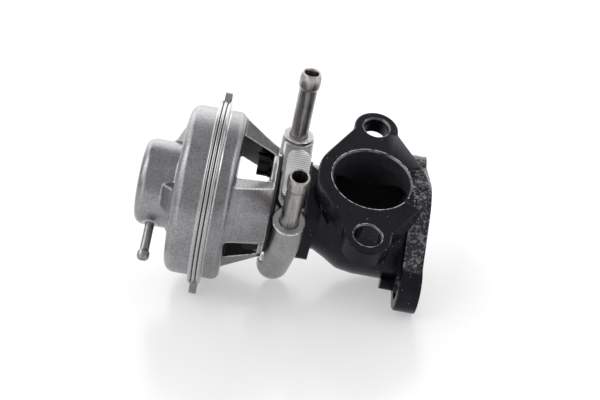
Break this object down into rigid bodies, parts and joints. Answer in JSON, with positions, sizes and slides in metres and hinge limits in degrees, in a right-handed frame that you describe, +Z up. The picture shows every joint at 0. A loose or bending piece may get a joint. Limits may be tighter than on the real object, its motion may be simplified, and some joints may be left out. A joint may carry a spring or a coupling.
{
  "type": "egr valve",
  "caption": "Vacuum-operated exhaust gas recirculation valve with a three-legged housing, water-cooled spacer and black cast body with two oval flanges.",
  "frame": {"origin": "centre of the footprint on the floor, in the resting pose of the picture", "axes": "+Z up; the stem runs along X and slopes down towards +X, from the vacuum cap to the inlet flange; the outlet port looks up and towards -Y"},
  "size_m": [0.1274, 0.0888, 0.091],
  "materials": {
    "cast_aluminium": "satin, fine cast grain",
    "jacket_aluminium": "cast grain with a milled pad",
    "tube_steel": "drawn tube with lengthwise streaks",
    "black_iron": "gloss black on rough casting",
    "black_steel": "black oxide",
    "black_rubber": "matt moulded",
    "bright_steel": "zinc plated",
    "stem_steel": "ground",
    "sintered_bush": "sintered bronze",
    "gasket_sheet": "graphite sheet"
  },
  "bodies": {
    "housing": {"actuator_cover": "cast_aluminium", "vacuum_nipple": "tube_steel", "spring_seat": "bright_steel", "return_spring": "bright_steel", "diaphragm": "black_rubber", "lower_housing": "cast_aluminium", "seat_ring": "stem_steel", "guide_bush": "sintered_bush", "scraper_shield": "stem_steel", "stem_seal": "black_rubber", "seal_retainer": "bright_steel", "water_jacket": "jacket_aluminium", "upper_coolant_tube": "tube_steel", "lower_coolant_tube": "tube_steel", "insulating_gasket": "gasket_sheet", "body_gasket": "gasket_sheet", "dowels": "bright_steel", "fixing_screws": "black_steel", "spring_washers": "black_steel", "valve_body": "black_iron"},
    "valve_train": {"valve_stem": "stem_steel", "valve_head": "stem_steel", "stem_nut": "bright_steel", "stem_washer": "bright_steel", "diaphragm_cup": "bright_steel", "diaphragm_plate": "bright_steel"}
  },
  "joints": [
    {"name": "valve_lift", "type": "slide", "parent": "housing", "child": "valve_train", "axis": [-0.9816, 0, 0.1911], "range_m": [0, 0.008], "stiffness_N_per_m": 3000, "springref_m": -0.008, "deforming": ["return_spring", "diaphragm"]}
  ]
}
